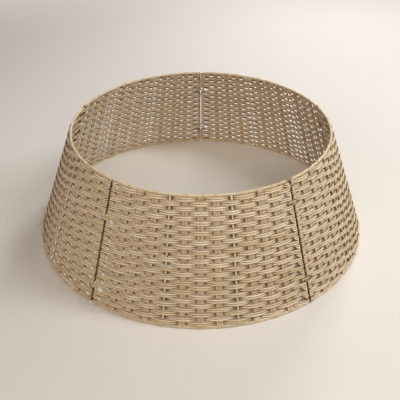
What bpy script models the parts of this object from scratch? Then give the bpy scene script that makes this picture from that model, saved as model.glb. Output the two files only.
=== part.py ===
"""A wicker collar that hides the stand of a christmas tree: five woven panels, hinged edge to edge.

Together the panels stand as a cone. Each is a wire frame, nine reed stakes bound to its rims, and a weave
round both. Metres, +Z up, with the origin on the floor in the middle of the ring. The front panel faces -Y.
"""

import math

import bmesh
import bpy
from mathutils import Matrix, Vector

# Overall size, over the rims
BASE_DIAMETER = 0.750
TOP_DIAMETER = 0.570
HEIGHT = 0.250

# Panels, anticlockwise from the front as seen from above
PANELS = ("front", "front_right", "back_right", "back_left", "front_left")
PANEL_ANGLE = 2 * math.pi / len(PANELS)
SEAM_GAP = 0.0024

# Wire frame of a panel
WIRE_DIAMETER = 0.0035
FRAME_CORNER_RADIUS = 0.004
FRAME_CORNER_STEPS = 3
WIRE_FIT = 0.0003

# Reeds and strands
STAKE_WIDTH = 0.0125
STAKE_THICKNESS = 0.003
STAKE_FIT = 0.0003
STRAND_THICKNESS = 0.003
BINDING_THICKNESS = 0.001
RIM_GAP = 0.0004
EDGE_SETBACK = 0.0005

# Uprights between a panel's two edge posts: reed stakes, with a wire in place of two of them
INNER_UPRIGHTS = 11
UPRIGHT_STEP_SHARE = 0.1583
WIRE_UPRIGHTS = (4, 8)

# Hinged seams by the panel that each one follows, and the panels that carry their ties
HINGE_SEAMS = {"right": "front", "right_rear": "front_right", "left_rear": "back_left", "left": "front_left"}
TIE_CARRIERS = {"right": "front", "right_rear": "front_right", "left_rear": "front_left", "left": "front"}

# Ties that hinge one panel to the next, at these shares of the posts' height: where the weave's rows pass
# behind the posts
TIE_HEIGHT = 0.005
TIE_THICKNESS = 0.0015
TIE_END_CLEARANCE = 0.001
NOTCH_DEPTH = 0.008
TIE_SHARES = {
    "right": (0.8325, 0.2017),
    "right_rear": (0.7624, 0.2017),
    "left_rear": (0.7624, 0.2017),
    "left": (0.6923, 0.1317),
}

# Hooks that close the ring at the back
CLOSING_SEAM = "back_right"
HOOK_WIRE_DIAMETER = 0.0022
HOOK_TIP_LENGTH = 0.002
HOOK_EYE_START = math.radians(85)
HOOK_STEP = math.radians(30)
HOOK_SHARES = {"upper": 0.7624, "lower": 0.2017}

# Cutters run past what they cut
OVERRUN = 0.003

WELD_DISTANCE = 0.00001

# Sides of the round solids
TUBE_RESOLUTION = {6: 1, 8: 2}
WIRE_SIDES = 6
RIM_SIDES = 8
TURN_SIDES = 10
TIE_ARC_STEPS = 5

STRAW = ("straw", (0.56, 0.43, 0.27, 1), 0.6, 0.0)
REED = ("reed", (0.62, 0.47, 0.26, 1), 0.55, 0.0)
FRAME_WIRE = ("frame_wire", (0.55, 0.44, 0.24, 1), 0.5, 0.0)
HOOK_WIRE = ("hook_wire", (0.10, 0.08, 0.06, 1), 0.4, 0.9)

wire_radius = WIRE_DIAMETER / 2
bore_radius = wire_radius + WIRE_FIT
rim_radius = bore_radius + BINDING_THICKNESS
turn_radius = bore_radius + STRAND_THICKNESS
post_offset = SEAM_GAP / 2 + turn_radius
half_weave = STAKE_THICKNESS / 2 + STRAND_THICKNESS
base_ring = (BASE_DIAMETER / 2 - rim_radius, rim_radius)
top_ring = (TOP_DIAMETER / 2 - rim_radius, HEIGHT - rim_radius)


def clear_scene():
    for obj in list(bpy.data.objects):
        bpy.data.objects.remove(obj, do_unlink=True)


def new_collection(name):
    collection = bpy.data.collections.new(name)
    bpy.context.scene.collection.children.link(collection)
    return collection


def material(name, colour, roughness, metallic):
    made = bpy.data.materials.get(name) or bpy.data.materials.new(name)
    made.use_nodes = True
    shader = made.node_tree.nodes["Principled BSDF"]
    shader.inputs["Base Color"].default_value = colour
    shader.inputs["Roughness"].default_value = roughness
    shader.inputs["Metallic"].default_value = metallic
    made.diffuse_color = colour
    return made


def add_object(name, data, collection):
    obj = bpy.data.objects.new(name, data)
    collection.objects.link(obj)
    if collection is cutters:
        obj.hide_render = True
        obj.display_type = "WIRE"
    return obj


def radial(angle):
    """Outward from the ring's middle, at an angle anticlockwise from the front."""
    return Vector((math.sin(angle), -math.cos(angle), 0))


def tangent(angle):
    return Vector((math.cos(angle), math.sin(angle), 0))


def ring_point(ring, angle):
    radius, height = ring
    return radius * radial(angle) + Vector((0, 0, height))


def post_point(ring, angle, side):
    """On a ring, beside the seam at an angle: side is -1 before the seam and +1 past it."""
    radius, height = ring
    reach = math.sqrt(radius**2 - post_offset**2)
    return reach * radial(angle) + side * post_offset * tangent(angle) + Vector((0, 0, height))


def post(angle, side):
    return post_point(base_ring, angle, side), post_point(top_ring, angle, side)


def panel_uprights():
    """(foot, head) of each upright of the front panel, from its left edge post to its right one."""
    step = UPRIGHT_STEP_SHARE * PANEL_ANGLE / 2
    middle = (INNER_UPRIGHTS - 1) / 2
    angles = [(i - middle) * step for i in range(INNER_UPRIGHTS)]
    inner = [(ring_point(base_ring, angle), ring_point(top_ring, angle)) for angle in angles]
    return [post(-PANEL_ANGLE / 2, 1), *inner, post(PANEL_ANGLE / 2, -1)]


def along(upright, share):
    foot, head = upright
    return foot.lerp(head, share)


def past_rim(upright, distance):
    """The share of an upright at this distance from the middle of the rim that it stands on."""
    foot, head = upright
    return distance / (head - foot).length


def axes_along(start, end, across=None):
    """A rotation whose Z runs from start to end and whose X is across, or else lies level along the ring."""
    z = (end - start).normalized()
    x = (across or Vector((0, 0, 1)).cross(start)).normalized()
    return Matrix((x, z.cross(x), z)).transposed().to_4x4()


def placed_mesh(name, build, placement):
    mesh = bpy.data.meshes.new(name)
    shape = bmesh.new()
    build(shape)
    shape.transform(placement)
    shape.to_mesh(mesh)
    shape.free()
    return mesh


def bar(name, start, end, width, thickness):
    size = Matrix.Diagonal((width, thickness, (end - start).length, 1))
    placement = Matrix.Translation((start + end) / 2) @ axes_along(start, end) @ size
    mesh = placed_mesh(name, lambda shape: bmesh.ops.create_cube(shape, size=1), placement)
    return add_object(name, mesh, cutters)


def rod(name, start, end, radius, sides):
    """A straight rod whose flats, not its corners, lie at the radius."""
    corner_radius = radius / math.cos(math.pi / sides)

    def build(shape):
        bmesh.ops.create_cone(
            shape,
            cap_ends=True,
            segments=sides,
            radius1=corner_radius,
            radius2=corner_radius,
            depth=(end - start).length,
        )

    placement = Matrix.Translation((start + end) / 2) @ axes_along(start, end)
    return add_object(name, placed_mesh(name, build, placement), cutters)


def tube(name, points, radius, sides, cyclic=False, flats_out=False):
    """A wire through the points. With flats_out its flats lie at the radius, and one of them faces down."""
    curve = bpy.data.curves.new(name, "CURVE")
    curve.dimensions = "3D"
    curve.twist_mode = "Z_UP"
    curve.bevel_depth = radius / math.cos(math.pi / sides) if flats_out else radius
    curve.bevel_resolution = TUBE_RESOLUTION[sides]
    curve.use_fill_caps = not cyclic
    spline = curve.splines.new("POLY")
    spline.points.add(len(points) - 1)
    spline.use_cyclic_u = cyclic
    for spline_point, place in zip(spline.points, points):
        spline_point.co = (*place, 1)
        spline_point.tilt = math.pi / sides if flats_out else 0
    return add_object(name, curve, cutters)


def as_mesh(obj, name):
    """The evaluated shape as a mesh of its own, with its caps welded. The object goes."""
    bpy.context.view_layer.update()
    graph = bpy.context.evaluated_depsgraph_get()
    mesh = bpy.data.meshes.new_from_object(obj.evaluated_get(graph))
    mesh.transform(obj.matrix_world)
    mesh.name = name
    shape = bmesh.new()
    shape.from_mesh(mesh)
    bmesh.ops.remove_doubles(shape, verts=shape.verts, dist=WELD_DISTANCE)
    bmesh.ops.recalc_face_normals(shape, faces=shape.faces)
    shape.to_mesh(mesh)
    shape.free()
    bpy.data.objects.remove(obj, do_unlink=True)
    return mesh


def meshed(obj):
    """The same object with its curve made a mesh, so that it can cut or join, be cut or be joined."""
    name = obj.name
    return add_object(name, as_mesh(obj, name), cutters)


def combine(obj, operation, others):
    for other in others:
        modifier = obj.modifiers.new(other.name, "BOOLEAN")
        modifier.operation = operation
        modifier.solver = "EXACT"
        modifier.object = other
    return obj


def corner(before, at, after):
    """The rounded corner of a frame, from the side of before to the side of after."""
    back = (before - at).normalized()
    on = (after - at).normalized()
    half = back.angle(on) / 2
    middle = at + (back + on).normalized() * FRAME_CORNER_RADIUS / math.sin(half)
    start = at + back * FRAME_CORNER_RADIUS / math.tan(half)
    sweep = math.pi - 2 * half
    axis = on.cross(back).normalized()
    turns = [sweep * step / FRAME_CORNER_STEPS for step in range(FRAME_CORNER_STEPS + 1)]
    return [middle + Matrix.Rotation(turn, 3, axis) @ (start - middle) for turn in turns]


def rim_points(end):
    """Along one rim of the front panel from left to right: its inner uprights' feet or heads, between the
    places where the frame's corners begin. end is 0 for the base and 1 for the top."""
    places = [along(upright, end) for upright in uprights]
    other_end = [along(upright, 1 - end) for upright in uprights]
    left = corner(other_end[0], places[0], places[1])[-1]
    right = corner(places[-2], places[-1], other_end[-1])[0]
    return [left, *places[1:-1], right]


def frame_mesh():
    """The welded frame: one wire round the panel's edge, and two more from rim to rim."""
    feet = [along(upright, 0) for upright in uprights]
    heads = [along(upright, 1) for upright in uprights]
    loop = [
        *feet[1:-1],
        *corner(feet[-2], feet[-1], heads[-1]),
        *corner(feet[-1], heads[-1], heads[-2]),
        *heads[-2:0:-1],
        *corner(heads[1], heads[0], feet[0]),
        *corner(heads[0], feet[0], feet[1]),
    ]
    frame = meshed(tube("frame_loop", loop, wire_radius, WIRE_SIDES, cyclic=True))
    flats_radius = wire_radius * math.cos(math.pi / WIRE_SIDES)
    wires = [
        rod(f"frame_wire_{index}", *uprights[index], flats_radius, WIRE_SIDES) for index in WIRE_UPRIGHTS
    ]
    return as_mesh(combine(frame, "UNION", wires), "frame")


def rim_bore(end):
    """The space that a rim's binding leaves for its wire, open at both ends."""
    points = rim_points(end)
    points[0] += (points[0] - points[1]).normalized() * OVERRUN
    points[-1] += (points[-1] - points[-2]).normalized() * OVERRUN
    return meshed(tube(f"rim_bore_{end}", points, bore_radius, RIM_SIDES, flats_out=True))


def stakes_mesh():
    """Nine reed stakes, joined by the strands that bind their ends along the rim wires."""
    rims = [
        meshed(tube(f"rim_{end}", rim_points(end), rim_radius, RIM_SIDES, flats_out=True))
        for end in (0, 1)
    ]
    stakes = [
        bar(f"stake_{index}", *uprights[index], STAKE_WIDTH, STAKE_THICKNESS)
        for index in range(1, INNER_UPRIGHTS + 1)
        if index not in WIRE_UPRIGHTS
    ]
    wire_ways = [
        rod(f"rim_way_{index}", *uprights[index], bore_radius, WIRE_SIDES) for index in WIRE_UPRIGHTS
    ]
    combine(rims[0], "UNION", [*stakes, rims[1]])
    combine(rims[0], "DIFFERENCE", [rim_bore(0), rim_bore(1), *wire_ways])
    return as_mesh(rims[0], "stakes")


def weave_sheet():
    """The middle of a panel's weave, between its rims and from edge post to edge post."""
    share = past_rim(uprights[0], rim_radius + RIM_GAP)

    def build(shape):
        low, high = (
            [shape.verts.new(along(upright, end)) for upright in uprights] for end in (share, 1 - share)
        )
        for i in range(len(uprights) - 1):
            shape.faces.new((low[i], low[i + 1], high[i + 1], high[i]))

    sheet = add_object("weave_sheet", placed_mesh("weave_sheet", build, Matrix()), cutters)
    shell = sheet.modifiers.new("thickness", "SOLIDIFY")
    shell.thickness = 2 * half_weave
    shell.offset = 0
    shell.use_even_offset = True
    return sheet


def weave_mesh():
    """The woven strands as one sheet, turned round both edge posts, with a way through for each upright."""
    setback = past_rim(uprights[0], rim_radius + RIM_GAP + EDGE_SETBACK)
    turns = [
        rod(f"weave_turn_{side}", along(edge, setback), along(edge, 1 - setback), turn_radius, TURN_SIDES)
        for side, edge in (("left", uprights[0]), ("right", uprights[-1]))
    ]
    ways = []
    for index, upright in enumerate(uprights):
        name = f"weave_way_{index}"
        if index in (0, *WIRE_UPRIGHTS, INNER_UPRIGHTS + 1):
            ways.append(rod(name, *upright, bore_radius, WIRE_SIDES))
        else:
            width, thickness = (size + 2 * STAKE_FIT for size in (STAKE_WIDTH, STAKE_THICKNESS))
            ways.append(bar(name, *upright, width, thickness))
    sheet = combine(weave_sheet(), "UNION", turns)
    return as_mesh(combine(sheet, "DIFFERENCE", ways), "weave")


def notch(name, edge, side, share, piece_height):
    """Cuts the weave away round an edge post, where a tie or a hook goes round it. side is -1 on the left."""
    inboard = Vector((0, 0, 1)).cross(edge[0]).normalized() * -side
    outboard_reach = turn_radius + OVERRUN
    half_height = past_rim(edge, piece_height / 2 + TIE_END_CLEARANCE)
    shift = inboard * (NOTCH_DEPTH - outboard_reach) / 2
    ends = [along(edge, share + way * half_height) + shift for way in (-1, 1)]
    return bar(name, *ends, NOTCH_DEPTH + outboard_reach, 2 * outboard_reach)


def tie_outline(radius):
    """Round both posts of a seam, at this distance from their axes."""
    outline = []
    for middle, start in ((post_offset, -math.pi / 2), (-post_offset, math.pi / 2)):
        for step in range(TIE_ARC_STEPS + 1):
            turn = start + math.pi * step / TIE_ARC_STEPS
            outline.append((middle + radius * math.cos(turn), radius * math.sin(turn), 0))
    return outline


def seam_place(seam, share, way=1):
    """Midway between the posts of a seam, with Z up them and X along the ring, anticlockwise if way is 1."""
    before, past = (post(seam_angle(seam), side) for side in (-1, 1))
    middle = (along(before, share) + along(past, share)) / 2
    return Matrix.Translation(middle) @ axes_along(*before, way * tangent(seam_angle(seam)))


def tie_curve():
    """The bound tie that holds two posts side by side and lets them turn."""
    curve = bpy.data.curves.new("tie", "CURVE")
    curve.dimensions = "2D"
    curve.fill_mode = "BOTH"
    curve.extrude = TIE_HEIGHT / 2
    for radius in (bore_radius, bore_radius + TIE_THICKNESS):
        outline = tie_outline(radius)
        spline = curve.splines.new("POLY")
        spline.points.add(len(outline) - 1)
        spline.use_cyclic_u = True
        for spline_point, place in zip(spline.points, outline):
            spline_point.co = (*place, 1)
    return curve


def hook_points():
    """From an eye round the post that carries the hook, along a straight bar, and round the far side of the
    post that it catches. X points at the caught post, and Y out of the ring."""
    reach = wire_radius + WIRE_FIT + HOOK_WIRE_DIAMETER / 2
    caught = 2 * post_offset
    eye_steps = math.ceil((2 * math.pi - HOOK_EYE_START) / HOOK_STEP)
    catch_steps = math.ceil(math.pi / 2 / HOOK_STEP)
    points = []
    for step in range(eye_steps + 1):
        turn = HOOK_EYE_START + (2 * math.pi - HOOK_EYE_START) * step / eye_steps
        points.append((reach * math.sin(turn), reach * math.cos(turn), 0))
    for step in range(catch_steps + 1):
        turn = math.pi / 2 * step / catch_steps
        points.append((caught + reach * math.sin(turn), reach * math.cos(turn), 0))
    points.append((caught + reach, -HOOK_TIP_LENGTH, 0))
    return points


def seam_angle(seam):
    """A seam goes by the name of the panel that it follows."""
    return (PANELS.index(seam) + 0.5) * PANEL_ANGLE


def panel_turn(panel):
    return Matrix.Rotation(PANELS.index(panel) * PANEL_ANGLE, 4, "Z")


def hold(obj, holder, place):
    """Parents an object to the empty that carries it, at a place in the world."""
    obj.parent = holder
    obj.matrix_parent_inverse = holder.matrix_world.inverted() if holder else Matrix()
    obj.matrix_basis = place
    bpy.context.view_layer.update()
    return obj


def pivot(name, holder, place):
    return hold(add_object(name, None, parts), holder, Matrix.Translation(place))


def seam_notches(seam):
    """The (share, height) of each piece that goes round the posts of a seam."""
    if seam == CLOSING_SEAM:
        return [(share, HOOK_WIRE_DIAMETER) for share in HOOK_SHARES.values()]
    name = next(name for name, panel in HINGE_SEAMS.items() if panel == seam)
    return [(share, TIE_HEIGHT) for share in TIE_SHARES[name]]


def add_part(name, data, finish, holder, place):
    obj = add_object(name, data, parts)
    data.materials.clear()
    data.materials.append(material(*finish))
    return hold(obj, holder, place)


def add_panel(panel, holder, meshes):
    """One panel: wire frame, bound stakes, and a weave notched for what goes round its edge posts."""
    turn = panel_turn(panel)
    add_part(f"{panel}_wire_frame", meshes["frame"], FRAME_WIRE, holder, turn)
    add_part(f"{panel}_stakes", meshes["stakes"], REED, holder, turn)
    weave = add_part(f"{panel}_weave", meshes["weave"], STRAW, holder, turn)
    cuts = []
    left_seam = PANELS[PANELS.index(panel) - 1]
    for edge, side, seam in ((uprights[0], -1, left_seam), (uprights[-1], 1, panel)):
        for share, height in seam_notches(seam):
            cut = notch(f"{panel}_notch_{seam}_{share}", edge, side, share, height)
            cut.matrix_basis = turn
            cuts.append(cut)
    combine(weave, "DIFFERENCE", cuts)


def main():
    meshes = {"frame": frame_mesh(), "stakes": stakes_mesh(), "weave": weave_mesh()}
    holders = {"front": pivot("front_panel", None, (0, 0, 0))}
    for panel, parent, seam, side in (
        ("front_right", "front", "front", 1),
        ("back_right", "front_right", "front_right", 1),
        ("front_left", "front", "front_left", -1),
        ("back_left", "front_left", "back_left", -1),
    ):
        foot = post(seam_angle(seam), side)[0]
        holders[panel] = pivot(f"{panel}_panel", holders[parent], foot)
    for panel in PANELS:
        add_panel(panel, holders[panel], meshes)

    tie = tie_curve()
    for name, seam in HINGE_SEAMS.items():
        holder = holders[TIE_CARRIERS[name]]
        for level, share in zip(("upper", "lower"), TIE_SHARES[name]):
            add_part(f"{name}_{level}_tie", tie, STRAW, holder, seam_place(seam, share))

    for level, share in HOOK_SHARES.items():
        carrying = post(seam_angle(CLOSING_SEAM), 1)
        place = seam_place(CLOSING_SEAM, share, way=-1)
        place.translation = along(carrying, share)
        holder = pivot(f"{level}_hook_pivot", holders["back_left"], place.translation)
        wire = tube(f"{level}_hook", hook_points(), HOOK_WIRE_DIAMETER / 2, WIRE_SIDES)
        curve = wire.data
        bpy.data.objects.remove(wire, do_unlink=True)
        add_part(f"{level}_hook", curve, HOOK_WIRE, holder, place)


clear_scene()
parts = new_collection("christmas_tree_collar")
cutters = new_collection("cutters")
uprights = panel_uprights()
main()
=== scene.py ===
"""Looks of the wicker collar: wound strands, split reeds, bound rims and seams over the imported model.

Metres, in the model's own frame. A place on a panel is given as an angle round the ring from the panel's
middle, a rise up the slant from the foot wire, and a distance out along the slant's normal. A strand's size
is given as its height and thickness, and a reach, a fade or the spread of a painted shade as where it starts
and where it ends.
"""

import math

import bpy
import numpy as np
from mathutils import Euler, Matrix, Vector


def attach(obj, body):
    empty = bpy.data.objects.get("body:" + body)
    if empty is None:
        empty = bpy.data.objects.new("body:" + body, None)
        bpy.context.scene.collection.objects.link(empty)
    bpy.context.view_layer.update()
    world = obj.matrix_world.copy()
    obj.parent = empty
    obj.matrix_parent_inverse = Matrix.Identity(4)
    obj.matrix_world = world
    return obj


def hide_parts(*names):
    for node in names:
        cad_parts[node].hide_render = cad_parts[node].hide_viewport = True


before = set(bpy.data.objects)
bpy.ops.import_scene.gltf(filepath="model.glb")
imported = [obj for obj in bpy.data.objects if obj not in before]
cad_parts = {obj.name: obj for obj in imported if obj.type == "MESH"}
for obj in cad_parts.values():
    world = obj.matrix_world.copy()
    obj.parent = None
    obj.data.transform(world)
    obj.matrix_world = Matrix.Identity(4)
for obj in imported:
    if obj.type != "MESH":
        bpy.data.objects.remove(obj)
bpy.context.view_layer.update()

PANELS = ("front", "front_right", "back_right", "back_left", "front_left")
PANEL_ANGLE = 2 * math.pi / len(PANELS)

# Rim wires as (radius, height), and the edge posts' distance from the seam plane
FOOT_RING = (0.37195, 0.00305)
HEAD_RING = (0.28195, 0.24695)
POST_OFFSET = 0.00625
CORNER_RADIUS = 0.004

# Uprights of a panel: 0 and 12 are its edge posts, 4 and 8 thin wires, and the others stakes
UPRIGHTS = 13
UPRIGHT_STEP = 0.1583 * PANEL_ANGLE / 2
WIRE_UPRIGHTS = (4, 8)
STAKES = [i for i in range(1, UPRIGHTS - 1) if i not in WIRE_UPRIGHTS]
STAKE_WIDTH = 0.0125
REEDS_PER_STAKE = 4
REED_THICKNESS = 0.0033
REED_MARGIN = 0.0012
REED_SWAY = 0.00012
REED_BEND = 0.00008
REED_SWAY_WAVES = (20, 60)
REED_BEND_WAVE = 45
REED_JITTER = 0.02
REED_THINNEST = 0.92
UPRIGHT_SLEEVE = (0.0048, 0.0038)
SLEEVE_MARGIN = 0.0015
ALONG_UPRIGHT = 30

# How far from an upright's middle a row lies flat on it
POST_FLAT = 0.0008
STAKE_FLAT = STAKE_WIDTH / 2 - 0.0002
WIRE_FLAT = UPRIGHT_SLEEVE[0] / 2

# Rows of paired strands, counted from the head
ROWS = 28
ROW_MARGIN = 0.0073
STRAND_THICKNESS = 0.0022
STRAND_HEIGHT = 0.0051
SQUEEZED_HEIGHT = 0.0046
PAIR_SPACING = 0.0045
SQUEEZED_SPACING = 0.0043
OVER_STAKE = 0.0033
OVER_WIRE = 0.0036
DIVE_SHARES = (0, 0.2, 0.4, 0.6, 0.8, 1)
STRAND_LENGTH = 0.55
LENGTH_SPREAD = (0.6, 1.4)

# Painted shade on a strand's side where it dips behind an upright, and how much stronger it is painted on
# the side seen from inside
RECESS_SHADE = 0.95
INNER_PAINTED_SHADE = 2.6

# Unevenness of hand-laid rows. A slow wave is its height, then its change of phase with a radian round the
# ring, a metre up the slant and a seed. The quick waver and the size wander turn at every so many points
ROW_WAVES = ((0.0006, 7, 31, 1), (0.0004, 17, -47, 2))
WAVER_UP = 0.0001
WAVER_OUT = 0.00012
WAVER_POINTS = 5
SIZE_WANDER = 0.03
SIZE_POINTS = 40

# Turns round the edge posts
TURN_RADIUS = 0.0040
TURN_STEP_DEGREES = 30
TURN_THICKNESS = 0.0037
TURN_SPACING = 0.0039
TURN_OVERLAP = 1.02
TURN_BLEND = (0.1, 0.2, 0.4, 0.2, 0.1)
# Where the painted shade of the seam gap starts and where it is full on a post turn, by how far the turn
# faces the seam
SEAM_SHADE_REACH = (0.55, 0.82)
TIGHT_REACH = (0.007, 0.013)
LOOSE_REACH = 0.03

# Where the closing seam stands open, its turns are smaller: their radius and thickness
CLOSING_TURN = (0.0032, 0.0026)
CLOSING_TAPER = 0.03
CLOSING_REACH = 0.012

# Shifts of rows up or down at the posts, the distances from a post over which rows keep them, and the share
# of the bay where they end
TIED_TURN_RISE = 0.0027
RETURN_LIFT = 0.0020
FOOT_DIP = 0.0025
TIED_KEEP = 0.0035
FOOT_KEEP = 0.004
RETURN_KEEP = 0.005
SHIFT_END = 0.38

# Rings between the turns: the degrees that they go through, and the lowest ring's
RING_SPACING = 0.0045
RING_STEP_DEGREES = 15
RING_SPAN = (-120, 240)
FOOT_RING_SPAN = (-200, 30)
FOOT_RING_RISE = 0.0040

# Seams by name: the panel before each, the body that carries its ties, and the rows that they sit at
SEAMS = {
    "right": ("front", "front", (5, 23)),
    "right_rear": ("front_right", "front_right", (7, 23)),
    "left_rear": ("back_left", "front_left", (7, 23)),
    "left": ("front_left", "front", (9, 25)),
}
CLOSING_SEAM = "back_right"
HOOK_ROWS = (7, 23)
TIE_RADIUS = 0.0028
TIE_STRAND = (0.0022, 0.0012)
TIE_TURNS = 2
TIE_ARC_STEPS = 8
# Distances from the seam over which the painted shade of the seam gap on a tie fades out
TIE_SHADE_REACH = (0.0022, 0.0042)

# Windings round the rims
WRAP_RADIUS = 0.0021
WRAP_STRAND = (0.0052, 0.0009)
WRAP_PITCH = 0.0050
WRAP_STEPS = 12
WRAP_LENGTH = 0.4
WRAP_TONE = 0.4
WRAP_JITTER = 0.25
WRAP_SIZE_JITTER = 0.06
WRAP_END = 0.0062
RIM_POINTS = 90
CORNER_POINTS = 5

# Reed ends folded over the rims: their outer leg and its spread, the inner leg's share of it, the share of a
# reed's width that they fill, how far the legs sink into the stake, where they leave it and where they meet
# the loop, both measured back from the rim wire, and how far they lift between
LOOP_RADIUS = 0.0025
LOOP_THICKNESS = 0.0010
LOOP_LEG = 0.0080
LOOP_LEG_SPREAD = (0.8, 1.2)
LOOP_INNER_LEG = 0.9
LOOP_FILL = 0.97
LOOP_SINK = 0.0004
LOOP_LEAVES = 0.0035
LOOP_MEETS = 0.0022
LOOP_LIFT = 0.0003
LOOP_STEP_DEGREES = 20

# Free margin of each strip in the map for the bake, as a share of the strip
STRIP_MARGIN = 0.04

# Colours of strands by tone and of wires by patch, the shades of streaks, and the colours of the painted
# shade of crevices, recesses and seam gaps
STRAW = [
    (0.0, (0.71, 0.565, 0.37)),
    (0.4, (0.82, 0.69, 0.485)),
    (0.7, (0.885, 0.765, 0.57)),
    (1.0, (0.93, 0.84, 0.675)),
]
REED = [(0.0, (0.66, 0.50, 0.315)), (0.5, (0.77, 0.60, 0.395)), (1.0, (0.84, 0.685, 0.475))]
SLEEVE = [(0.0, (0.80, 0.69, 0.44)), (0.5, (0.88, 0.78, 0.53)), (1.0, (0.92, 0.84, 0.61))]
FRAME_WIRE = [(0.35, (0.58, 0.46, 0.26)), (0.6, (0.74, 0.62, 0.38))]
HOOK_WIRE = [(0.35, (0.035, 0.028, 0.02)), (0.6, (0.06, 0.048, 0.036))]
STREAKS = [(0.32, (0.62, 0.57, 0.50)), (0.5, (1, 1, 1))]
STREAK_SHARE = 0.8
PAINTED_SHADE_COLOURS = [
    (0.48, (1, 1, 1)),
    (0.7, (0.64, 0.49, 0.34)),
    (0.9, (0.29, 0.17, 0.08)),
    (1.0, (0.12, 0.07, 0.035)),
]

# Noise as its scale, detail and roughness. Along a strand the scale is one along it and two across
FIBRES = ((30, 1100, 1100), 3, 0.6)
STAINS = ((22, 90, 90), 2, 0.5)
STAIN_SHARE = 0.75
WIRE_PATCHES = (140, 3, 0.6)
FLOOR_PATCHES = (1.5, 2, 0.5)

# Floor and surroundings. Between the two distances of the fade the floor takes the surroundings' colour
FLOOR_HALF = 12
FLOOR_COLOURS = [(0.3, (0.81, 0.765, 0.71)), (0.7, (0.835, 0.79, 0.735))]
FLOOR_FADE = (1.3, 2.6)
SURROUNDINGS = (0.80, 0.75, 0.69)
FAINT_LIGHT = ((1.0, 0.95, 0.89), 0.02)

# Lamps as name, place, size, energy and colour, all facing one point
LIT_POINT = (0, 0, 0.1)
COOL, WARM, PLAIN = (0.94, 0.98, 1.0), (1.0, 0.90, 0.80), (1.0, 0.98, 0.96)
LAMPS = (
    ("key", (1.2, -0.1, 2.18), (0.5, 0.6), 13, COOL),
    ("low_key", (1.7, -0.1, 1.8), (0.5, 0.6), 15, COOL),
    ("far_key", (3.6, -0.2, 3.0), (0.6, 0.6), 9, COOL),
    ("fill", (0, -2.0, 1.5), (1.5, 0.8), 16, WARM),
    ("left_fill", (-1.1, -1.7, 1.5), (1.2, 0.8), 6, WARM),
    ("high_fill", (0, -1.2, 3.0), (1.5, 1.2), 13, WARM),
    ("back", (0.8, 2.0, 1.5), (0.8, 0.6), 28, PLAIN),
)

# The photograph's camera, fitted to both rims
CAMERA_PLACE = (0, -1.2256, 0.8839)
CAMERA_DOWN_DEGREES = 34.39
CAMERA_TURN_DEGREES = 0.09
CAMERA_LENS = 56.25
CAMERA_SENSOR = 36

SLANT = math.hypot(FOOT_RING[0] - HEAD_RING[0], HEAD_RING[1] - FOOT_RING[1])
UP = np.array([HEAD_RING[0] - FOOT_RING[0], HEAD_RING[1] - FOOT_RING[1]]) / SLANT
OUT = np.array([UP[1], -UP[0]])
ROW_PITCH = (SLANT - 2 * ROW_MARGIN) / (ROWS - 1)


def row_rise(row):
    return ROW_MARGIN + (ROWS - row) * ROW_PITCH


def ring_radius(rise):
    return FOOT_RING[0] + rise * UP[0]


def along_ring(angle):
    return np.stack([np.cos(angle), np.sin(angle), np.zeros_like(angle)], -1)


def slanted(angle, pair):
    """Directions with these (radial, vertical) parts, at each angle."""
    return np.stack([pair[0] * np.sin(angle), -pair[0] * np.cos(angle), np.full_like(angle, pair[1])], -1)


def surface(angle, rise, out):
    radius = FOOT_RING[0] + rise * UP[0] + out * OUT[0]
    height = FOOT_RING[1] + rise * UP[1] + out * OUT[1]
    return np.stack([radius * np.sin(angle), -radius * np.cos(angle), height], -1)


def leaning(angle, lean):
    """Directions by their lean at each angle: 0 along the ring, a quarter turn outwards."""
    return np.cos(lean)[:, None] * along_ring(angle) + np.sin(lean)[:, None] * slanted(angle, OUT)


def distance_along(points):
    """The distance run at each point of a line."""
    return np.concatenate([[0], np.cumsum(np.linalg.norm(np.diff(points, axis=0), axis=1))])


def post_angle(side, rise):
    """Angle of the edge post on a side, -1 or 1, from the panel's middle."""
    return side * (PANEL_ANGLE / 2 - math.asin(POST_OFFSET / ring_radius(rise)))


def inner_angle(index):
    """Angle of a stake or thin wire from the panel's middle."""
    return (index - (UPRIGHTS - 1) / 2) * UPRIGHT_STEP


def upright_angle(index, rise):
    if index in (0, UPRIGHTS - 1):
        return post_angle(-1 if index == 0 else 1, rise)
    return inner_angle(index)


def smooth(share):
    share = np.clip(share, 0, 1)
    return share * share * (3 - 2 * share)


def past(value, reach):
    """0 before a reach, 1 after it, and smooth between."""
    return smooth((value - reach[0]) / (reach[1] - reach[0]))


def drift(angle, rise, seed):
    """The slow waves of a row, nearly the same for its neighbours."""
    return sum(
        height * np.sin(round_ring * angle + up_slant * rise + turn * seed)
        for height, round_ring, up_slant, turn in ROW_WAVES
    )


def half_flat(index):
    if index in (0, UPRIGHTS - 1):
        return POST_FLAT
    return WIRE_FLAT if index in WIRE_UPRIGHTS else STAKE_FLAT


def upright_out(row, index):
    """How far out a row passes an upright: in front where their numbers add up to an even one."""
    side = 1 if (row + index) % 2 == 0 else -1
    if index in (0, UPRIGHTS - 1):
        return side * TURN_RADIUS
    return side * (OVER_WIRE if index in WIRE_UPRIGHTS else OVER_STAKE)


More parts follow.
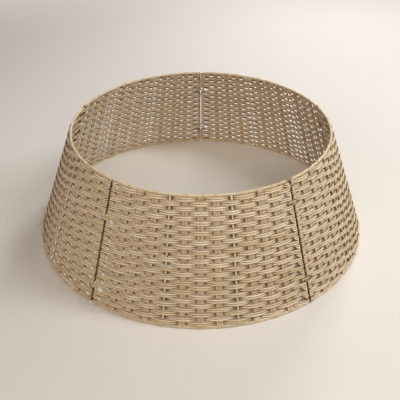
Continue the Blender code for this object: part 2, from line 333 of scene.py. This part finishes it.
def run_points(row, post_shift):
    """A row from its left edge to its right one, each point as its angle, rise, distance out and how
    squeezed the pair is there. post_shift gives the extra rise at each edge post, and how far from it the
    row keeps it."""
    rise = row_rise(row)
    radius = ring_radius(rise)
    points = []
    for i in range(UPRIGHTS - 1):
        start, end = upright_angle(i, rise), upright_angle(i + 1, rise)
        out_start, out_end = upright_out(row, i), upright_out(row, i + 1)
        length = (end - start) * radius
        flat_start, flat_end = half_flat(i), half_flat(i + 1)
        dive = length - flat_start - flat_end
        places = [(0.0, 0.0)] if i else []
        places += [(flat_start + share * dive, share) for share in DIVE_SHARES]
        for place, share in places:
            turn = (share + smooth(share)) / 2
            squeeze = math.sin(math.pi * share) ** 2
            shift = 0.0
            if i == 0:
                amount, keep = post_shift[0]
                shift = amount * (1 - smooth((place - keep) / (SHIFT_END * length - keep)))
            elif i == UPRIGHTS - 2:
                amount, keep = post_shift[1]
                shift = amount * (1 - smooth((length - place - keep) / (SHIFT_END * length - keep)))
            points.append(
                (start + place / radius, rise + shift, out_start + (out_end - out_start) * turn, squeeze)
            )
    return points


def post_turn(side, rises, turns):
    """Round the post at one edge, between two rises and two turns: 90 degrees is outside the post, 0 at its
    seam side and -90 inside it. Each point is as in weave_path."""
    steps = round(abs(turns[1] - turns[0]) / TURN_STEP_DEGREES)
    path = []
    for share in np.linspace(0, 1, steps + 1):
        turn = math.radians(turns[0] + (turns[1] - turns[0]) * share)
        rise = rises[0] + (rises[1] - rises[0]) * share
        angle = post_angle(side, rise) + side * TURN_RADIUS * math.cos(turn) / ring_radius(rise)
        lean = turn if side > 0 else math.pi - turn
        path.append((angle, rise, TURN_RADIUS * math.sin(turn), lean, 0.0, 1.0))
    return path


def weave_path(tied):
    """The centre line of a panel's paired strands, from the foot of its left edge up to the head, to and
    fro, as angles, rises, distances out, leans, how squeezed the pair is, and 1 on a post. tied is the set
    of rows that a tie or hook sits at, at the left edge and at the right one."""
    foot = row_rise(ROWS) - FOOT_DIP
    path = post_turn(-1, (foot, foot), (-90, 90))
    for row in range(ROWS, 0, -1):
        rightward = row % 2 == 0
        shifts = [(-FOOT_DIP, FOOT_KEEP)] * 2 if row == ROWS else [(0.0, 0.0)] * 2
        if not rightward:
            for side, away in ((0, 1), (1, -1)):
                if row in tied[side]:
                    shifts[side] = (away * (ROW_PITCH - TIED_TURN_RISE), TIED_KEEP)
                else:
                    shifts[side] = (RETURN_LIFT, RETURN_KEEP)
        run = run_points(row, shifts)
        lean = math.pi / 2 if rightward else -math.pi / 2
        if not rightward:
            run.reverse()
        path += [(angle, rise, out, lean, squeeze, 0.0) for angle, rise, out, squeeze in run]
        rise = row_rise(row)
        if rightward:
            tie = row - 1 in tied[1]
            start = foot if row == ROWS else rise
            end = rise + (TIED_TURN_RISE if tie else ROW_PITCH + RETURN_LIFT)
            path += post_turn(1, (start, end), (90, -90))
        elif row > 1:
            above = row_rise(row - 1)
            start = above - TIED_TURN_RISE if row in tied[0] else rise + RETURN_LIFT
            path += post_turn(-1, (start, above), (-90, 90))
        else:
            path += post_turn(-1, (rise + RETURN_LIFT, rise + RETURN_LIFT), (-90, 270))
    return np.array(path).T


def post_rings(tied):
    """Rings between the turns at both edge posts, each leaning as the turns there do: the inner side of a
    ring is below its outer side at the left edge and above it at the right."""
    rings = []
    for side in (-1, 1):
        for row in range(1 if side > 0 else 3, ROWS + 2, 2):
            if row in tied[(side + 1) // 2]:
                continue
            span = RING_SPAN
            outer = row_rise(row)
            inner = outer + (ROW_PITCH + RETURN_LIFT if side > 0 else RETURN_LIFT - ROW_PITCH)
            if row == 1:
                inner = outer + RETURN_LIFT
            elif row > ROWS:
                if side < 0:
                    continue
                span, outer, inner = FOOT_RING_SPAN, FOOT_RING_RISE, row_rise(ROWS)
            ring = []
            for degrees in range(span[0], span[1] + 1, RING_STEP_DEGREES):
                share = (1 - math.sin(math.radians(degrees))) / 2
                rise = outer + (inner - outer) * share
                ring += post_turn(side, (rise, rise), (degrees, degrees))
            rings.append(np.array(ring).T)
    return rings


def wander(rng, count, every):
    """A smooth random course between -1 and 1."""
    knots = np.arange(0, count + every, every)
    return np.interp(np.arange(count), knots, rng.uniform(-1, 1, len(knots)))


def apart(rise):
    """How far the closing seam stands open: 0 at its hooks and beyond them, 1 between."""
    low, high = (row_rise(row) for row in reversed(HOOK_ROWS))
    return smooth((rise - low) / CLOSING_TAPER) * smooth((high - rise) / CLOSING_TAPER)


def offset_strand(path, offset, rng, seed, post_spacing, closing_side):
    """One strand of a pair, as points, thickness directions, heights, thicknesses and its painted shade:
    that of the seam gap on post turns and that of recesses where it dips behind an upright. offset is -1 for
    the lower one and 1 for the upper. closing_side is the side of a closing edge, or 0."""
    angle, rise, out, lean, squeeze, on_post = path
    count = len(angle)
    on_post = np.convolve(np.pad(on_post, len(TURN_BLEND) // 2, "edge"), TURN_BLEND, "valid")
    edge_distance = (PANEL_ANGLE / 2 - np.abs(angle)) * ring_radius(rise) - POST_OFFSET

    # Smaller turns where the closing seam stands open
    at_edge = (np.sign(angle) == closing_side) * (1 - smooth(np.abs(edge_distance) / CLOSING_REACH))
    open_share = apart(rise) * at_edge
    shrink = 1 - (1 - CLOSING_TURN[0] / TURN_RADIUS) * open_share
    angle = angle - np.sign(angle) * (shrink - 1) * edge_distance / ring_radius(rise)
    out = out * shrink

    # The pair is drawn together between uprights and beside the posts
    spacing = PAIR_SPACING + (SQUEEZED_SPACING - PAIR_SPACING) * squeeze
    tight = 1 - past(edge_distance, TIGHT_REACH)
    spacing += (post_spacing - spacing) * tight
    heights = STRAND_HEIGHT + (SQUEEZED_HEIGHT - STRAND_HEIGHT) * squeeze
    heights += (post_spacing * TURN_OVERLAP - heights) * tight
    heights *= 1 + SIZE_WANDER * wander(rng, count, SIZE_POINTS)
    turn_thickness = TURN_THICKNESS + (CLOSING_TURN[1] - TURN_THICKNESS) * open_share
    thicknesses = STRAND_THICKNESS + (turn_thickness - STRAND_THICKNESS) * on_post
    thicknesses *= 1 + SIZE_WANDER * wander(rng, count, SIZE_POINTS)

    # Away from the posts the strand wavers
    loose = smooth(edge_distance / LOOSE_REACH)
    waver = wander(rng, count, WAVER_POINTS)
    rise = rise + offset * spacing / 2 + (drift(angle, rise, seed) + WAVER_UP * waver) * loose
    out = out + WAVER_OUT * waver * loose

    # Painted shade of the seam gap on the seam side of each post turn
    seamward = np.sign(angle) * np.cos(lean)
    painted_seam_shade = on_post * past(seamward, SEAM_SHADE_REACH)
    # Painted shade on the side that dips behind an upright, stronger where it is seen from inside
    painted_recess_shade = -np.sin(lean) * out / OVER_WIRE * (1 - on_post) * np.where(out > 0, INNER_PAINTED_SHADE, 1)
    return surface(angle, rise, out), leaning(angle, lean), heights, thicknesses, (painted_seam_shade, painted_recess_shade)


def tone_steps(points, rng, length=STRAND_LENGTH):
    """A tone for each length of strand that was joined to make this one."""
    run = distance_along(points)
    tones = rng.beta(2.2, 2.2, int(run[-1] / length) + 2)
    starts = np.cumsum(rng.uniform(*LENGTH_SPREAD, len(tones)) * length)
    return tones[np.minimum(np.searchsorted(starts, run), len(tones) - 1)]


def squared(value, flatness):
    """A sine or cosine of a round section, drawn towards a square one by a flatness below 1."""
    return np.sign(value) * np.abs(value) ** flatness


def strand_mesh(name, strands, sides=8, flatness=1.0, edge_shade=1.0):
    """A mesh of swept oval strands, each (points, refs, heights, thicknesses, tones) with its painted shade
    where it has it: painted shade of the seam gap all round, and painted shade of recesses on the side that
    refs point to. edge_shade is how strongly the top and bottom of each strand are painted with shade where
    it meets its neighbours."""
    places, quads, caps, fibres, tones, painted_shade_values, uvs = [], [], [], [], [], [], []
    runs = [distance_along(strand[0]) for strand in strands]
    height, thickness = (np.mean([strand[part].mean() for strand in strands]) for part in (2, 3))
    strip = math.sqrt(sum(run[-1] for run in runs) * math.pi * (height + thickness) / 2)
    strips = sum(int(run[-1] / strip) + 1 for run in runs)
    strip_index = 0
    start = 0
    offset_rng = np.random.default_rng(7)
    turn = 2 * math.pi * (np.arange(sides) + 0.5) / sides
    for (points, refs, heights, thicknesses, tone, *painted_shade), run in zip(strands, runs):
        count = len(points)
        painted_seam_shade, painted_recess_shade = painted_shade[0] if painted_shade else (np.zeros(count), np.zeros(count))
        tangents = np.gradient(points, run, axis=0)
        tangents /= np.linalg.norm(tangents, axis=1)[:, None]
        across = refs - (refs * tangents).sum(1)[:, None] * tangents
        across /= np.linalg.norm(across, axis=1)[:, None]
        up = np.cross(across, tangents)
        local_x = squared(np.cos(turn), flatness)[None] * thicknesses[:, None] / 2
        local_y = squared(np.sin(turn), flatness)[None] * heights[:, None] / 2
        ring = points[:, None] + local_x[..., None] * across[:, None] + local_y[..., None] * up[:, None]
        places.append(ring.reshape(-1, 3))
        along = np.repeat((run + offset_rng.uniform(0, 30))[:, None], sides, 1)
        fibres.append(np.stack([along, local_x, local_y], -1).reshape(-1, 3))
        tones.append(np.repeat(tone, sides))
        # Painted shade of recesses, on the side of a strand that dips behind an upright
        painted_shade_in_recess = RECESS_SHADE * np.clip(np.cos(turn)[None] * painted_recess_shade[:, None], 0, 1)
        # Painted shade along the top and bottom of each strand, where it meets its neighbours, and over the
        # seam gap
        rim = np.maximum(edge_shade * np.abs(np.sin(turn))[None], painted_seam_shade[:, None])
        painted_shade_values.append(np.maximum(rim, painted_shade_in_recess).ravel())

        # Faces from one ring of points to the next, and one at each end
        i, j = np.meshgrid(np.arange(count - 1), np.arange(sides), indexing="ij")
        i, j = i.ravel(), j.ravel()
        k = (j + 1) % sides
        corners = (i * sides + j, i * sides + k, (i + 1) * sides + k, (i + 1) * sides + j)
        quads.append(start + np.stack(corners, -1))
        caps += [start + np.arange(sides)[::-1], start + (count - 1) * sides + np.arange(sides)]

        # In the map the strand is cut into strips that lie one above the other
        band = (run[:-1] / strip).astype(int)
        u0, u1 = ((end - band * strip)[i] / (strip * (1 + STRIP_MARGIN)) for end in (run[:-1], run[1:]))
        lowest, filled = strip_index + band[i] + STRIP_MARGIN, 1 - 2 * STRIP_MARGIN
        v0, v1 = ((lowest + filled * end / sides) / strips for end in (j, j + 1))
        uvs.append(np.stack([np.stack(uv, -1) for uv in ((u0, v0), (u0, v1), (u1, v1), (u1, v0))], 1))
        strip_index += int(run[-1] / strip) + 1
        start += count * sides
    arrays = [np.concatenate(part) for part in (places, quads, fibres, tones, painted_shade_values)]
    return filled_mesh(name, *arrays, np.array(caps), np.concatenate(uvs).reshape(-1, 2))


def filled_mesh(name, places, quads, fibres, tones, painted_shade_values, caps, uvs):
    """A smooth mesh of these quads and end caps, with the attributes that the materials read and its map."""
    mesh = bpy.data.meshes.new(name)
    mesh.vertices.add(len(places))
    mesh.vertices.foreach_set("co", places.ravel())
    corners = np.concatenate([quads.ravel(), caps.ravel()])
    mesh.loops.add(len(corners))
    mesh.loops.foreach_set("vertex_index", corners)
    starts = np.concatenate([np.arange(len(quads)) * 4, quads.size + np.arange(len(caps)) * caps.shape[1]])
    mesh.polygons.add(len(starts))
    mesh.polygons.foreach_set("loop_start", starts)
    mesh.update(calc_edges=True)
    mesh.validate()
    mesh.attributes.new("fibre", "FLOAT_VECTOR", "POINT").data.foreach_set("vector", fibres.ravel())
    mesh.attributes.new("tone", "FLOAT", "POINT").data.foreach_set("value", tones)
    # The edge attribute holds the painted shade that the materials read
    mesh.attributes.new("edge", "FLOAT", "POINT").data.foreach_set("value", painted_shade_values)
    layer = mesh.uv_layers.new(name="OFBake")
    cap_uvs = np.tile(uvs[:1], (caps.size, 1))
    layer.uv.foreach_set("vector", np.concatenate([uvs, cap_uvs]).ravel())
    mesh.polygons.foreach_set("use_smooth", np.ones(len(mesh.polygons), bool))
    return mesh


def add_piece(name, mesh, material, body, turn=0.0):
    """Places a panel's piece by its turn round the ring, with the turn applied to the mesh."""
    piece = bpy.data.objects.new(name, mesh)
    bpy.context.scene.collection.objects.link(piece)
    mesh.transform(Euler((0, 0, turn)).to_matrix().to_4x4())
    mesh.materials.append(material)
    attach(piece, body)
    return piece


def tied_rows(panel):
    """The rows that a tie or hook sits at, at the left edge and at the right edge of a panel."""
    rows_after = {before: set(rows) for before, _, rows in SEAMS.values()}
    rows_after[CLOSING_SEAM] = set(HOOK_ROWS)
    return [rows_after[PANELS[PANELS.index(panel) - 1]], rows_after[panel]]


def weave_strands(panel, seed):
    rng = np.random.default_rng(100 + seed)
    tied = tied_rows(panel)
    closing_side = {CLOSING_SEAM: 1, PANELS[PANELS.index(CLOSING_SEAM) + 1]: -1}.get(panel, 0)
    strands = []
    for spacing, paths in ((TURN_SPACING, [weave_path(tied)]), (RING_SPACING, post_rings(tied))):
        for path in paths:
            for offset in (-1, 1):
                *shape, painted_shade = offset_strand(path, offset, rng, seed, spacing, closing_side)
                strands.append((*shape, tone_steps(shape[0], rng), painted_shade))
    return strands


def reed_strands(seed):
    """The reeds of a panel's stakes, side by side."""
    rng = np.random.default_rng(200 + seed)
    strands = []
    rise = np.linspace(REED_MARGIN, SLANT - REED_MARGIN, ALONG_UPRIGHT)
    width = STAKE_WIDTH / REEDS_PER_STAKE
    for index in STAKES:
        for reed in range(REEDS_PER_STAKE):
            across = (reed - (REEDS_PER_STAKE - 1) / 2) * width
            sway = REED_SWAY * np.sin(rise * rng.uniform(*REED_SWAY_WAVES) + rng.uniform(0, 6))
            angle = inner_angle(index) + (across + sway) / ring_radius(rise)
            bend = REED_BEND * np.sin(rise * REED_BEND_WAVE + rng.uniform(0, 6))
            points = surface(angle, rise, bend)
            refs = slanted(angle, OUT)
            size = width * (1 + REED_JITTER * rng.uniform(-1, 1, len(rise)))
            thickness = np.full(len(rise), REED_THICKNESS * rng.uniform(REED_THINNEST, 1))
            strands.append((points, refs, size, thickness, np.full(len(rise), rng.beta(2, 2))))
    return strands


def upright_strands():
    """The coating of a panel's two thin uprights."""
    rise = np.linspace(SLEEVE_MARGIN, SLANT - SLEEVE_MARGIN, ALONG_UPRIGHT)
    strands = []
    for index in WIRE_UPRIGHTS:
        angle = np.full(len(rise), inner_angle(index))
        width, thickness = (np.full(len(rise), size) for size in UPRIGHT_SLEEVE)
        points = surface(angle, rise, np.zeros(len(rise)))
        strands.append((points, slanted(angle, OUT), width, thickness, np.full(len(rise), 0.5)))
    return strands


def loop_profile(leg):
    """A reed's end, up the stake's outer face, over the rim wire and down the inner face, as distances
    beyond the wire, distances out, and leans in degrees."""
    out = (REED_THICKNESS + LOOP_THICKNESS) / 2 - LOOP_SINK
    profile = [(-leg, out, 90), (-LOOP_LEAVES, out, 90), (-LOOP_MEETS, out + LOOP_LIFT, 90)]
    for degrees in range(90 - LOOP_STEP_DEGREES, -90, -LOOP_STEP_DEGREES):
        turn = math.radians(90 - degrees)
        profile.append((LOOP_RADIUS * math.sin(turn), LOOP_RADIUS * math.cos(turn), degrees))
    profile += [(-LOOP_MEETS, -out - LOOP_LIFT, -90), (-LOOP_LEAVES, -out, -90)]
    profile.append((-leg * LOOP_INNER_LEG, -out, -90))
    return np.array(profile).T


def loop_strands(seed):
    """Reed ends that fold over both rim wires."""
    rng = np.random.default_rng(500 + seed)
    strands = []
    width = STAKE_WIDTH / REEDS_PER_STAKE
    for index in STAKES:
        for reed in range(REEDS_PER_STAKE):
            across = (reed - (REEDS_PER_STAKE - 1) / 2) * width
            for rim, away in ((0.0, -1), (SLANT, 1)):
                beyond, out, lean = loop_profile(LOOP_LEG * rng.uniform(*LOOP_LEG_SPREAD))
                rise = rim + away * beyond
                angle = inner_angle(index) + across / ring_radius(rise)
                lean = np.radians(lean)[:, None]
                refs = np.sin(lean) * slanted(angle, OUT) + away * np.cos(lean) * slanted(angle, UP)
                size_and_tone = (width * LOOP_FILL, LOOP_THICKNESS, rng.beta(2, 2))
                parts = [np.full(len(rise), part) for part in size_and_tone]
                strands.append((surface(angle, rise, out), refs, *parts))
    return strands


def wound(points, normals, rng):
    """The strand that winds round a line of points."""
    run = distance_along(points)
    turns = run[-1] / WRAP_PITCH
    count = int(turns * WRAP_STEPS)
    place = np.linspace(0, run[-1], count)
    centre = np.stack([np.interp(place, run, points[:, axis]) for axis in range(3)], -1)
    normal = np.stack([np.interp(place, run, normals[:, axis]) for axis in range(3)], -1)
    tangent = np.gradient(centre, place, axis=0)
    tangent /= np.linalg.norm(tangent, axis=1)[:, None]
    normal -= (normal * tangent).sum(1)[:, None] * tangent
    normal /= np.linalg.norm(normal, axis=1)[:, None]
    side = np.cross(tangent, normal)
    phase = rng.uniform(0, 6)
    knots = np.linspace(0, count, int(turns) + 2)
    uneven_turn = np.interp(np.arange(count), knots, rng.uniform(-1, 1, len(knots)))
    uneven_size = np.interp(np.arange(count), knots, rng.uniform(-1, 1, len(knots)))
    angle = phase + 2 * math.pi * place / WRAP_PITCH + WRAP_JITTER * uneven_turn
    direction = np.cos(angle)[:, None] * normal + np.sin(angle)[:, None] * side
    heights = WRAP_STRAND[0] * (1 + WRAP_SIZE_JITTER * uneven_size)
    return centre + WRAP_RADIUS * direction, direction, heights, np.full(count, WRAP_STRAND[1])


def rim_line(head):
    """The line of a panel's rim wire, from one frame corner's end to the other's, and its normals."""
    rise_edge = SLANT if head else 0.0
    inward = -1 if head else 1
    edge = post_angle(1, rise_edge)
    radius = ring_radius(rise_edge)
    reach = edge - CORNER_RADIUS / radius
    right = [
        (
            reach + CORNER_RADIUS * math.cos(turn) / radius,
            rise_edge + inward * CORNER_RADIUS * (1 - math.sin(turn)),
        )
        for turn in np.linspace(math.pi / 2, 0, CORNER_POINTS)[1:]
    ]
    left = [(-angle, rise) for angle, rise in reversed(right)]
    right.append((edge, rise_edge + inward * WRAP_END))
    left.insert(0, (-edge, rise_edge + inward * WRAP_END))
    middle = [(angle, rise_edge) for angle in np.linspace(-reach, reach, RIM_POINTS)]
    coords = np.array(left + middle + right)
    return surface(coords[:, 0], coords[:, 1], np.zeros(len(coords))), slanted(coords[:, 0], OUT)


def wrap_strands(head, seed):
    rng = np.random.default_rng(300 + 2 * seed + head)
    strand = wound(*rim_line(head), rng)
    return [(*strand, WRAP_TONE * tone_steps(strand[0], rng, WRAP_LENGTH))]


def tie_strands(row, seed):
    """A strand wound round both posts of the seam at angle 0, with its ends lapped inside it."""
    rng = np.random.default_rng(400 + seed)
    rise = row_rise(row)
    loop = []
    for middle, first in ((POST_OFFSET, -math.pi / 2), (-POST_OFFSET, math.pi / 2)):
        for step in range(TIE_ARC_STEPS + 1):
            turn = first + math.pi * step / TIE_ARC_STEPS
            loop.append((middle + TIE_RADIUS * math.cos(turn), TIE_RADIUS * math.sin(turn), turn))
    coords = []
    lap = TIE_ARC_STEPS // 2 + 1
    last = TIE_TURNS * len(loop) + 2 * lap - 1
    for step in range(last + 1):
        x, out, turn = loop[(step - lap) % len(loop)]
        coords.append((x, (step / last - 0.5) * TIE_TURNS * TIE_STRAND[0], out, turn))
    x, lift, out, turn = np.array(coords).T
    angle = x / ring_radius(rise)
    count = len(x)
    sizes = [np.full(count, size) for size in TIE_STRAND]
    tone = np.full(count, rng.beta(2, 2))
    # Painted shade of the seam gap over the tie's middle
    painted_shade = (1 - past(np.abs(x), TIE_SHADE_REACH), np.zeros(count))
    return [(surface(angle, rise + lift, out), leaning(angle, np.unwrap(turn)), *sizes, tone, painted_shade)]


def nodes_of(name):
    material = bpy.data.materials.new(name)
    material.use_nodes = True
    tree = material.node_tree
    return material, tree.nodes, tree.links, tree.nodes["Principled BSDF"]


def ramp(nodes, stops):
    node = nodes.new("ShaderNodeValToRGB")
    elements = node.color_ramp.elements
    while len(elements) < len(stops):
        elements.new(0.5)
    for element, (place, colour) in zip(elements, stops):
        element.position = place
        element.color = (*colour, 1)
    return node


def noise(nodes, links, vector, scale, detail, roughness):
    node = nodes.new("ShaderNodeTexNoise")
    node.inputs["Scale"].default_value = scale
    node.inputs["Detail"].default_value = detail
    node.inputs["Roughness"].default_value = roughness
    links.new(vector, node.inputs["Vector"])
    return node


def stretched_noise(nodes, links, vector, scales, detail, roughness):
    node = nodes.new("ShaderNodeMapping")
    node.inputs["Scale"].default_value = scales
    links.new(vector, node.inputs["Vector"])
    return noise(nodes, links, node.outputs["Vector"], 1.0, detail, roughness)


def attribute_node(nodes, name):
    node = nodes.new("ShaderNodeAttribute")
    node.attribute_name = name
    return node


def add_roughness(nodes, links, shader, value, ends):
    node = nodes.new("ShaderNodeMapRange")
    node.inputs["To Min"].default_value, node.inputs["To Max"].default_value = ends
    links.new(value, node.inputs["Value"])
    links.new(node.outputs["Result"], shader.inputs["Roughness"])


def add_bump(nodes, links, shader, height, strength, distance):
    node = nodes.new("ShaderNodeBump")
    node.inputs["Strength"].default_value = strength
    node.inputs["Distance"].default_value = distance
    links.new(height, node.inputs["Height"])
    links.new(node.outputs["Normal"], shader.inputs["Normal"])


def multiplied(nodes, links, first, second, factor):
    mix = nodes.new("ShaderNodeMix")
    mix.data_type = "RGBA"
    mix.blend_type = "MULTIPLY"
    mix.inputs["Factor"].default_value = factor
    links.new(first, mix.inputs["A"])
    links.new(second, mix.inputs["B"])
    return mix.outputs["Result"]


def seen_share(nodes, links):
    """1 for rays that see the surroundings, straight, in gloss or through glass, and 0 for light."""
    rays = nodes.new("ShaderNodeLightPath")
    share = rays.outputs["Is Camera Ray"]
    for kind in ("Is Glossy Ray", "Is Transmission Ray"):
        either = nodes.new("ShaderNodeMath")
        either.operation = "MAXIMUM"
        links.new(share, either.inputs[0])
        links.new(rays.outputs[kind], either.inputs[1])
        share = either.outputs[0]
    return share


def strand_material(name, colours, specular, roughness, bump):
    """Dried grass: each length has its own tone, with fine fibres along it, stains, and painted shade in its
    crevices, recesses and seam gaps.
    """
    material, nodes, links, shader = nodes_of(name)
    fibre = attribute_node(nodes, "fibre")
    tone = attribute_node(nodes, "tone")
    fine = stretched_noise(nodes, links, fibre.outputs["Vector"], *FIBRES)
    stain = stretched_noise(nodes, links, fibre.outputs["Vector"], *STAINS)

    stain_part = nodes.new("ShaderNodeMath")
    stain_part.operation = "MULTIPLY_ADD"
    stain_part.inputs[1].default_value = STAIN_SHARE
    stain_part.inputs[2].default_value = -STAIN_SHARE / 2
    links.new(stain.outputs["Fac"], stain_part.inputs[0])
    place = nodes.new("ShaderNodeMath")
    place.operation = "ADD"
    place.use_clamp = True
    links.new(tone.outputs["Fac"], place.inputs[0])
    links.new(stain_part.outputs[0], place.inputs[1])
    base = ramp(nodes, colours)
    links.new(place.outputs[0], base.inputs["Fac"])

    streak = ramp(nodes, STREAKS)
    links.new(fine.outputs["Fac"], streak.inputs["Fac"])
    streaked = multiplied(nodes, links, base.outputs["Color"], streak.outputs["Color"], STREAK_SHARE)

    # Painted shade of crevices, recesses and seam gaps, from the edge attribute, darkens the colour
    edge = attribute_node(nodes, "edge")
    shade = ramp(nodes, PAINTED_SHADE_COLOURS)
    links.new(edge.outputs["Fac"], shade.inputs["Fac"])
    with_painted_shade = multiplied(nodes, links, streaked, shade.outputs["Color"], 1.0)
    links.new(with_painted_shade, shader.inputs["Base Color"])

    add_roughness(nodes, links, shader, fine.outputs["Fac"], roughness)
    shader.inputs["Specular IOR Level"].default_value = specular
    add_bump(nodes, links, shader, fine.outputs["Fac"], 0.6, bump)
    return material


def wire_material(name, colours, roughness, metallic):
    """Coated wire, a little worn and uneven."""
    material, nodes, links, shader = nodes_of(name)
    coords = nodes.new("ShaderNodeTexCoord")
    patch = noise(nodes, links, coords.outputs["Object"], *WIRE_PATCHES)
    colour = ramp(nodes, colours)
    links.new(patch.outputs["Fac"], colour.inputs["Fac"])
    links.new(colour.outputs["Color"], shader.inputs["Base Color"])
    add_roughness(nodes, links, shader, patch.outputs["Fac"], roughness)
    shader.inputs["Metallic"].default_value = metallic
    shader.inputs["Specular IOR Level"].default_value = 0.5
    add_bump(nodes, links, shader, patch.outputs["Fac"], 0.3, 0.0002)
    return material


def floor_material():
    material, nodes, links, shader = nodes_of("floor_finish")
    coords = nodes.new("ShaderNodeTexCoord")
    patch = noise(nodes, links, coords.outputs["Object"], *FLOOR_PATCHES)
    colour = ramp(nodes, FLOOR_COLOURS)
    links.new(patch.outputs["Fac"], colour.inputs["Fac"])
    links.new(colour.outputs["Color"], shader.inputs["Base Color"])
    shader.inputs["Roughness"].default_value = 0.85
    shader.inputs["Specular IOR Level"].default_value = 0.2

    # Far from the object, where the lamps do not reach, the camera sees the surroundings' colour
    distance = nodes.new("ShaderNodeVectorMath")
    distance.operation = "LENGTH"
    links.new(coords.outputs["Object"], distance.inputs[0])
    fade = nodes.new("ShaderNodeMapRange")
    fade.interpolation_type = "SMOOTHSTEP"
    fade.inputs["From Min"].default_value, fade.inputs["From Max"].default_value = FLOOR_FADE
    links.new(distance.outputs["Value"], fade.inputs["Value"])
    share = nodes.new("ShaderNodeMath")
    share.operation = "MULTIPLY"
    links.new(fade.outputs["Result"], share.inputs[0])
    links.new(seen_share(nodes, links), share.inputs[1])
    far = nodes.new("ShaderNodeEmission")
    far.inputs["Color"].default_value = (*SURROUNDINGS, 1)
    mix = nodes.new("ShaderNodeMixShader")
    links.new(share.outputs[0], mix.inputs["Fac"])
    links.new(shader.outputs["BSDF"], mix.inputs[1])
    links.new(far.outputs["Emission"], mix.inputs[2])
    links.new(mix.outputs["Shader"], nodes["Material Output"].inputs["Surface"])
    return material


def area_light(name, place, size, energy, colour):
    data = bpy.data.lights.new(name, "AREA")
    data.shape = "RECTANGLE"
    data.size, data.size_y = size
    data.energy = energy
    data.color = colour
    lamp = bpy.data.objects.new(name, data)
    bpy.context.scene.collection.objects.link(lamp)
    lamp.location = place
    lamp.rotation_euler = (Vector(LIT_POINT) - Vector(place)).to_track_quat("-Z", "Y").to_euler()


def add_camera():
    data = bpy.data.cameras.new("camera")
    data.lens = CAMERA_LENS
    data.sensor_width = CAMERA_SENSOR
    data.clip_end = 100
    camera = bpy.data.objects.new("camera", data)
    bpy.context.scene.collection.objects.link(camera)
    camera.location = CAMERA_PLACE
    camera.rotation_euler = (math.radians(90 - CAMERA_DOWN_DEGREES), 0, math.radians(CAMERA_TURN_DEGREES))
    bpy.context.scene.camera = camera


def add_floor():
    mesh = bpy.data.meshes.new("floor")
    corners = [(x * FLOOR_HALF, y * FLOOR_HALF, 0) for x, y in ((-1, -1), (1, -1), (1, 1), (-1, 1))]
    mesh.from_pydata(corners, [], [(0, 1, 2, 3)])
    floor = bpy.data.objects.new("floor", mesh)
    bpy.context.scene.collection.objects.link(floor)
    mesh.materials.append(floor_material())


def add_light():
    world = bpy.data.worlds.new("studio")
    bpy.context.scene.world = world
    world.use_nodes = True
    nodes, links = world.node_tree.nodes, world.node_tree.links
    faint = nodes["Background"]
    faint.inputs["Color"].default_value = (*FAINT_LIGHT[0], 1)
    faint.inputs["Strength"].default_value = FAINT_LIGHT[1]
    seen = nodes.new("ShaderNodeBackground")
    seen.inputs["Color"].default_value = (*SURROUNDINGS, 1)
    mix = nodes.new("ShaderNodeMixShader")
    links.new(seen_share(nodes, links), mix.inputs["Fac"])
    links.new(faint.outputs["Background"], mix.inputs[1])
    links.new(seen.outputs["Background"], mix.inputs[2])
    links.new(mix.outputs["Shader"], nodes["World Output"].inputs["Surface"])

    for lamp in LAMPS:
        area_light(*lamp)


def set_material(node, material):
    node.data.materials.clear()
    node.data.materials.append(material)


def add_panel(index, panel, straw, reed, sleeve, wire):
    turn = index * PANEL_ANGLE
    name = f"{panel}_strands"
    # Full painted shade between neighbouring strands, with their painted shade of seam gaps and recesses
    mesh = strand_mesh(name, weave_strands(panel, index))
    piece = add_piece(name, mesh, straw, panel, turn)
    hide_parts(f"{panel}_weave")
    name = f"{panel}_reeds"
    # Weaker painted shade between neighbouring reeds
    mesh = strand_mesh(name, reed_strands(index) + loop_strands(index), flatness=0.5, edge_shade=0.75)
    piece = add_piece(name, mesh, reed, panel, turn)
    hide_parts(f"{panel}_stakes")
    for head, rim in enumerate(("foot", "head")):
        name = f"{panel}_{rim}_wrap"
        # Weaker painted shade between neighbouring turns of the winding
        mesh = strand_mesh(name, wrap_strands(head, index), flatness=0.7, edge_shade=0.65)
        add_piece(name, mesh, straw, panel, turn)
    name = f"{panel}_upright_sleeves"
    add_piece(name, strand_mesh(name, upright_strands()), sleeve, panel, turn)
    set_material(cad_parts[f"{panel}_wire_frame"], wire)


def add_ties(straw):
    for index, (seam, (before, body, rows)) in enumerate(SEAMS.items()):
        turn = (PANELS.index(before) + 0.5) * PANEL_ANGLE
        for level, row in zip(("upper", "lower"), rows):
            name = f"{seam}_{level}_binding"
            mesh = strand_mesh(name, tie_strands(row, index), sides=6)
            piece = add_piece(name, mesh, straw, body, turn)
            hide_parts(f"{seam}_{level}_tie")


def main():
    straw = strand_material("straw_finish", STRAW, specular=0.45, roughness=(0.42, 0.65), bump=0.0002)
    reed = strand_material("reed_finish", REED, specular=0.35, roughness=(0.5, 0.7), bump=0.0002)
    sleeve = strand_material("sleeve_finish", SLEEVE, specular=0.5, roughness=(0.35, 0.5), bump=0.0001)
    wire = wire_material("frame_wire_finish", FRAME_WIRE, roughness=(0.4, 0.55), metallic=0.0)
    hook_wire = wire_material("hook_wire_finish", HOOK_WIRE, roughness=(0.3, 0.5), metallic=0.6)

    for index, panel in enumerate(PANELS):
        add_panel(index, panel, straw, reed, sleeve, wire)
    add_ties(straw)
    for level in ("upper", "lower"):
        set_material(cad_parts[f"{level}_hook"], hook_wire)

    add_floor()
    add_light()
    add_camera()
    bpy.context.scene.view_settings.view_transform = "Standard"


main()
